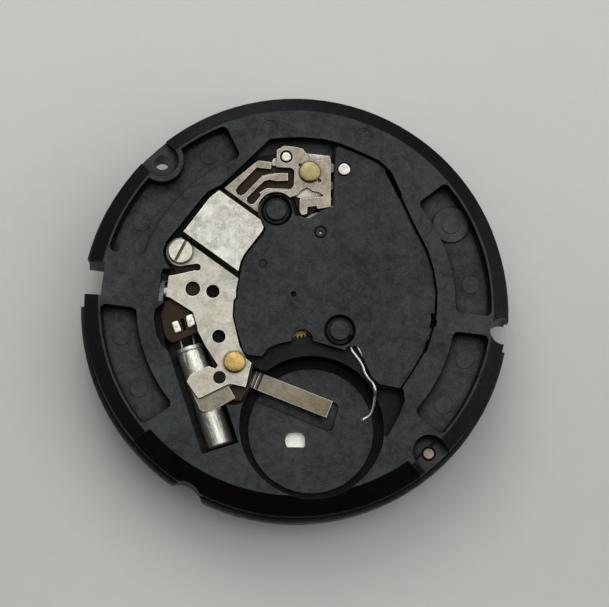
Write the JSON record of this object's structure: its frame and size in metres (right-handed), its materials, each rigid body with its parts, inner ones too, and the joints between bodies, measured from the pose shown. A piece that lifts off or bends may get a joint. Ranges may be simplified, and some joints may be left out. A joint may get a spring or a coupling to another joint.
{
  "type": "quartz watch movement",
  "caption": "Round analogue quartz watch movement, battery side up, with an empty battery well, stamped steel circuit cover, crystal can and three hand seats below.",
  "frame": {"origin": "on the hands' axis at the face that the dial lies on", "axes": "+Z towards the battery side, the stem leaves along -X, and +Y points to the far side from the battery well"},
  "size_m": [0.0208, 0.0208, 0.0044],
  "materials": {
    "black_plastic": "moulded, fine grain, satin",
    "bridge_plastic": "moulded, smooth satin",
    "board_laminate": "dark brown laminate, satin",
    "chip_resin": "cast resin, dull",
    "tin": "tinned and fluxed, satin",
    "can_metal": "drawn and plated, bright",
    "lead_wire": "tinned wire",
    "stamped_steel": "stamped sheet with rubbed edges, satin",
    "contact_steel": "rolled spring sheet, satin",
    "spring_wire": "drawn wire, bright",
    "screw_steel": "turned, polished head",
    "brass": "turned, polished head",
    "pin_steel": "turned, bright end",
    "soft_iron": "annealed sheet, dull",
    "copper_wire": "enamelled wire in even turns",
    "terminal_foil": "gilt foil",
    "magnet": "sintered, ground",
    "pinion_steel": "cut and polished",
    "wheel_brass": "stamped and grained",
    "lever_steel": "stamped, tumbled",
    "cover_steel": "rolled sheet, circular grain"
  },
  "bodies": {
    "movement": {"main_plate": "black_plastic", "train_bridge": "bridge_plastic", "circuit_board": "board_laminate", "ic_chip": "chip_resin", "solder_pads": "tin", "crystal_can": "can_metal", "crystal_leads": "lead_wire", "circuit_cover": "stamped_steel", "battery_contact": "contact_steel", "upper_contact": "contact_steel", "side_contact_spring": "spring_wire", "cover_screw": "screw_steel", "brass_studs": "brass", "cover_pin": "pin_steel", "bridge_pin": "pin_steel", "dial_foot_dowel": "pin_steel", "stator": "soft_iron", "coil_core": "soft_iron", "coil_winding": "copper_wire", "coil_terminals": "terminal_foil", "dial_cover": "cover_steel"},
    "rotor": {"rotor_magnet": "magnet", "rotor_pinion": "pinion_steel"},
    "fifth": {"fifth_wheel": "wheel_brass", "fifth_pinion": "pinion_steel"},
    "third": {"third_wheel": "wheel_brass", "third_pinion": "pinion_steel"},
    "seconds": {"seconds_wheel": "wheel_brass", "seconds_arbor": "pinion_steel"},
    "centre": {"centre_wheel": "wheel_brass", "cannon_pinion": "pinion_steel"},
    "minute": {"minute_wheel": "wheel_brass"},
    "hour": {"hour_wheel": "wheel_brass"},
    "setting": {"setting_wheel": "pinion_steel"},
    "lever": {"setting_lever": "lever_steel"},
    "yoke": {"yoke": "lever_steel"},
    "clutch": {"clutch_wheel": "pinion_steel"}
  },
  "joints": [
    {"name": "seconds_spin", "type": "hinge", "parent": "movement", "child": "seconds", "pos_m": [0, 0, 0], "axis": [0, 0, 1], "continuous": true},
    {"name": "rotor_spin", "type": "hinge", "parent": "movement", "child": "rotor", "pos_m": [0.00073, 0.0037, 0], "axis": [0, 0, 1], "continuous": true},
    {"name": "fifth_spin", "type": "hinge", "parent": "movement", "child": "fifth", "pos_m": [0.00054, 0.00192, 0], "axis": [0, 0, 1], "continuous": true},
    {"name": "third_spin", "type": "hinge", "parent": "movement", "child": "third", "pos_m": [-0.0012, 0.0012, 0], "axis": [0, 0, 1], "continuous": true},
    {"name": "centre_spin", "type": "hinge", "parent": "movement", "child": "centre", "pos_m": [0, 0, 0], "axis": [0, 0, 1], "continuous": true},
    {"name": "minute_wheel_spin", "type": "hinge", "parent": "movement", "child": "minute", "pos_m": [-0.00208, 0.0012, 0], "axis": [0, 0, 1], "continuous": true},
    {"name": "hour_spin", "type": "hinge", "parent": "movement", "child": "hour", "pos_m": [0, 0, 0], "axis": [0, 0, 1], "continuous": true},
    {"name": "setting_wheel_spin", "type": "hinge", "parent": "movement", "child": "setting", "pos_m": [-0.00433, 0, 0], "axis": [0, 0, 1], "continuous": true},
    {"name": "lever_turn", "type": "hinge", "parent": "movement", "child": "lever", "pos_m": [-0.0066, -0.0015, 0], "axis": [0, 0, 1], "range_deg": [0, 12]},
    {"name": "yoke_turn", "type": "hinge", "parent": "movement", "child": "yoke", "pos_m": [-0.0051, -0.004, 0], "axis": [0, 0, 1], "range_deg": [-4.7, 0]},
    {"name": "clutch_spin", "type": "hinge", "parent": "yoke", "child": "clutch", "pos_m": [-0.00585, 0, 0.00105], "axis": [1, 0, 0], "continuous": true}
  ],
  "couplings": [
    {"joint": "fifth_spin", "follows": "rotor_spin", "ratio": -0.1},
    {"joint": "seconds_spin", "follows": "rotor_spin", "ratio": 0.033333},
    {"joint": "third_spin", "follows": "rotor_spin", "ratio": -0.0044444},
    {"joint": "centre_spin", "follows": "rotor_spin", "ratio": 0.00055556},
    {"joint": "minute_wheel_spin", "follows": "rotor_spin", "ratio": -0.00018519},
    {"joint": "hour_spin", "follows": "rotor_spin", "ratio": 0.000046296},
    {"joint": "setting_wheel_spin", "follows": "rotor_spin", "ratio": 0.00044444},
    {"joint": "yoke_turn", "follows": "lever_turn", "ratio": -0.38333}
  ]
}
